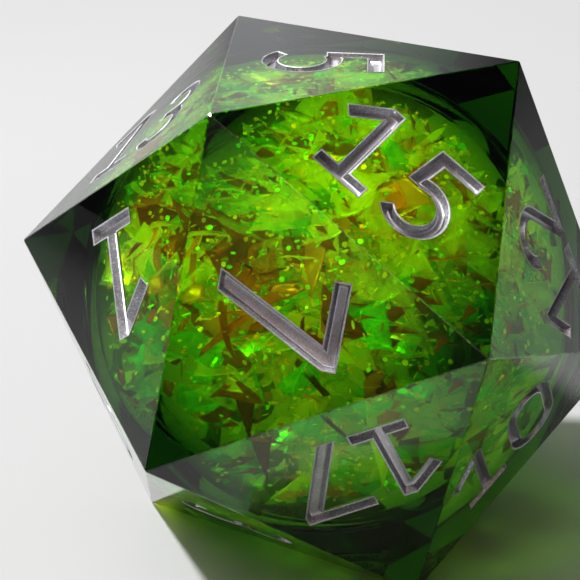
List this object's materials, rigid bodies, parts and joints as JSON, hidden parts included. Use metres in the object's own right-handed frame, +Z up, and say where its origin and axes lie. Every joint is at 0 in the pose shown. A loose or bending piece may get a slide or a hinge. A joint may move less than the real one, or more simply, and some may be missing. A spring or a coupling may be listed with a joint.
{
  "type": "twenty-sided polyhedral die with liquid core",
  "caption": "Crisp-edged icosahedral die of clear green resin, with engraved painted numbers and a sealed fluid core of swirling film shards and glitter.",
  "frame": {"origin": "middle of face 16, which the die rests on", "axes": "+Z up through face 5, +X towards the corner shared by faces 2, 8, 10, 12 and 20, -Y towards face 7's side"},
  "size_m": [0.0248, 0.0214, 0.02],
  "materials": {
    "tinted_resin": "polished clear green casting resin",
    "clear_capsule": "clear smooth plastic",
    "clear_plug": "clear cured resin",
    "core_fluid": "clear yellow-green fluid",
    "film_green": "iridescent film, green",
    "film_yellow": "iridescent film, yellow-green",
    "film_orange": "iridescent film, orange",
    "film_brown": "iridescent film, red-brown",
    "film_silver": "iridescent film, silvery",
    "glitter_gold": "metallic yellow flakes",
    "glitter_green": "metallic green flakes",
    "glitter_orange": "metallic orange flakes",
    "groove_paint": "metallic silver-grey paint"
  },
  "bodies": {
    "die": {"resin_body": "tinted_resin", "core_shell_lower": "clear_capsule", "core_shell_upper": "clear_capsule", "fill_plug": "clear_plug", "number_1_paint": "groove_paint", "number_2_paint": "groove_paint", "number_3_paint": "groove_paint", "number_4_paint": "groove_paint", "number_5_paint": "groove_paint", "number_6_paint": "groove_paint", "number_7_paint": "groove_paint", "number_8_paint": "groove_paint", "number_9_paint": "groove_paint", "number_10_paint": "groove_paint", "number_11_paint": "groove_paint", "number_12_paint": "groove_paint", "number_13_paint": "groove_paint", "number_14_paint": "groove_paint", "number_15_paint": "groove_paint", "number_16_paint": "groove_paint", "number_17_paint": "groove_paint", "number_18_paint": "groove_paint", "number_19_paint": "groove_paint", "number_20_paint": "groove_paint"},
    "core_contents": {"core_fluid": "core_fluid", "film_shards_green": "film_green", "film_shards_yellow": "film_yellow", "film_shards_orange": "film_orange", "film_shards_brown": "film_brown", "film_shards_silver": "film_silver", "glitter_gold": "glitter_gold", "glitter_green": "glitter_green", "glitter_orange": "glitter_orange"}
  },
  "joints": [
    {"name": "core_swirl", "type": "hinge", "parent": "die", "child": "core_contents", "pos_m": [0, 0, 0.01], "axis": [0, 0, 1], "continuous": true}
  ]
}
